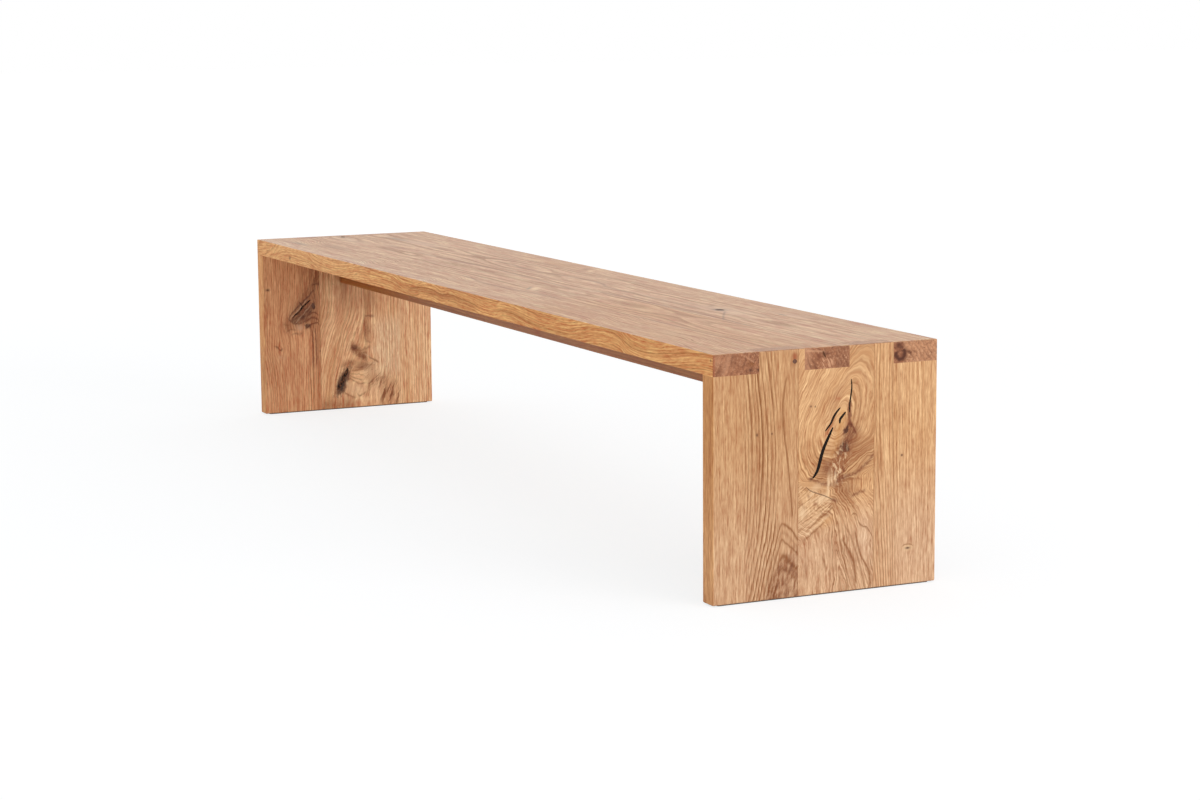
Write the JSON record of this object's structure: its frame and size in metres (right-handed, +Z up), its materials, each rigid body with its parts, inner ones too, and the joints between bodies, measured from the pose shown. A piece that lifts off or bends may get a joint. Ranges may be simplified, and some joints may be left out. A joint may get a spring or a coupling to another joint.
{
  "type": "bench",
  "caption": "Long rustic solid oak bench: a thick slab seat finger jointed to two slab legs, with a stiffening rail under the seat and black filled cracks and knots.",
  "frame": {"origin": "on the floor under the middle of the bench", "axes": "+X along the seat towards the leg with the large filled crack, +Y from the front edge to the back edge, +Z up"},
  "size_m": [2.5, 0.46, 0.45],
  "materials": {
    "seat_oak": "oiled satin oak",
    "leg_oak": "oiled satin oak",
    "rail_oak": "oiled satin oak",
    "dowel_beech": "raw turned beech",
    "black_filler": "cured black resin, sanded flush",
    "felt": "pressed wool felt"
  },
  "bodies": {
    "root": {"seat_stave_1": "seat_oak", "seat_stave_2": "seat_oak", "seat_stave_3": "seat_oak", "seat_stave_4": "seat_oak", "right_leg_stave_1": "leg_oak", "right_leg_stave_2": "leg_oak", "right_leg_stave_3": "leg_oak", "left_leg_stave_1": "leg_oak", "left_leg_stave_2": "leg_oak", "left_leg_stave_3": "leg_oak", "centre_rail": "rail_oak", "rail_end_dowel_right_1": "dowel_beech", "rail_end_dowel_right_2": "dowel_beech", "rail_end_dowel_left_1": "dowel_beech", "rail_end_dowel_left_2": "dowel_beech", "rail_seat_dowel_1": "dowel_beech", "rail_seat_dowel_2": "dowel_beech", "rail_seat_dowel_3": "dowel_beech", "rail_seat_dowel_4": "dowel_beech", "rail_seat_dowel_5": "dowel_beech", "right_leg_felt_strip": "felt", "left_leg_felt_strip": "felt", "right_leg_main_crack_fill": "black_filler", "right_leg_branch_crack_fill": "black_filler", "right_leg_thin_crack_fill": "black_filler", "right_leg_short_crack_fill": "black_filler", "left_leg_long_crack_fill": "black_filler", "left_leg_knot_hole_fill": "black_filler", "seat_end_crack_fill": "black_filler", "right_leg_lower_knot_fill": "black_filler", "right_leg_upper_knot_fill": "black_filler", "right_leg_pin_knot_fill": "black_filler", "left_leg_side_knot_fill": "black_filler", "seat_knot_fill_right": "black_filler", "seat_knot_fill_left": "black_filler"}
  },
  "joints": []
}
